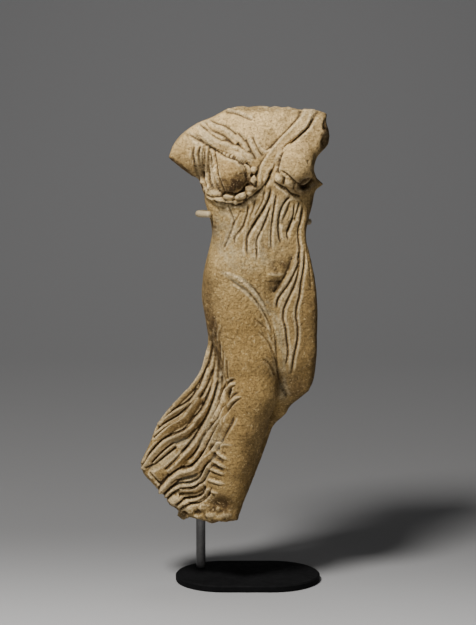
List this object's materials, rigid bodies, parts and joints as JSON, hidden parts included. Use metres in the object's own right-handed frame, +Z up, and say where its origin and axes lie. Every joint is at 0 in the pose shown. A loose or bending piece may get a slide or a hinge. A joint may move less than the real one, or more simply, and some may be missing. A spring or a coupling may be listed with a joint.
{
  "type": "terracotta statuette",
  "caption": "Broken terracotta statuette of a draped standing woman, held at the waist by a bent cradle on a rod and a low foot plate.",
  "frame": {"origin": "centre of the foot plate's underside", "axes": "+Z up, +X to the viewer's right, the figure faces -Y"},
  "size_m": [0.0794, 0.0524, 0.2046],
  "materials": {
    "terracotta": "matte",
    "painted_cradle": "satin",
    "grey_rod": "satin",
    "dark_plate": "satin"
  },
  "bodies": {
    "root": {"statuette": "terracotta", "waist_cradle": "painted_cradle", "support_rod": "grey_rod", "foot_plate": "dark_plate"}
  },
  "joints": []
}
